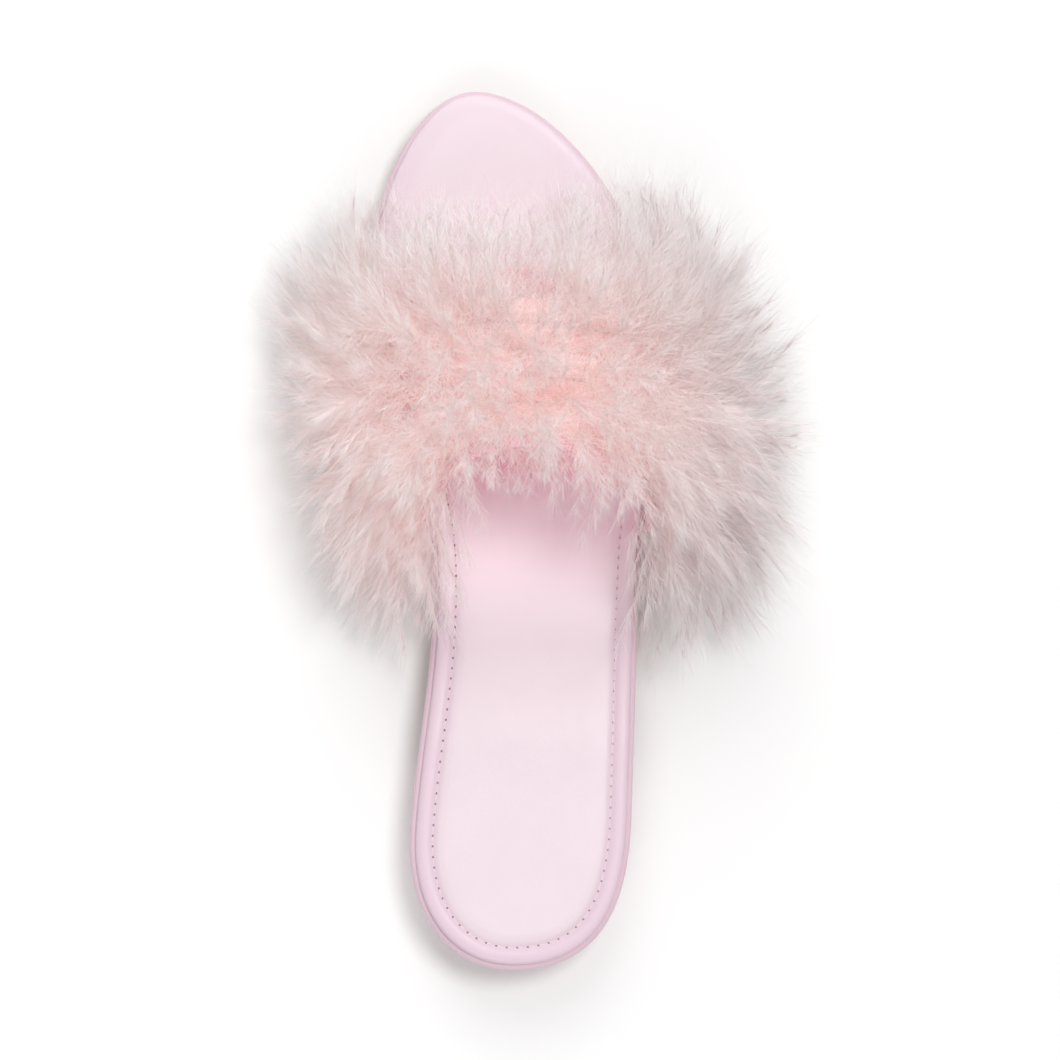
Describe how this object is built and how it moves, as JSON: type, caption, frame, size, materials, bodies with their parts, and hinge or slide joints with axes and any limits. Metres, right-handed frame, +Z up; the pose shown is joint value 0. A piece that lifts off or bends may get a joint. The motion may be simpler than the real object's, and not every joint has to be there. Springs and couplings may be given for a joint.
{
  "type": "marabou slipper",
  "caption": "Backless open-toed slide for the right foot, with a low heel and a leather strap under a deep marabou trim.",
  "frame": {"origin": "on the floor, under the middle of the heel's seat", "axes": "+Y from the heel to the toe, +X to the little-toe side, +Z up"},
  "size_m": [0.1565, 0.262, 0.0983],
  "materials": {
    "heel_cover": "smooth satin",
    "outsole": "smooth matte",
    "footbed_cover": "smooth satin",
    "insole": "smooth satin",
    "strap": "smooth satin",
    "marabou": "soft down"
  },
  "bodies": {
    "root": {"heel": "heel_cover", "outsole": "outsole", "midsole": "footbed_cover", "insole": "insole", "strap": "strap", "marabou": "marabou"}
  },
  "joints": []
}
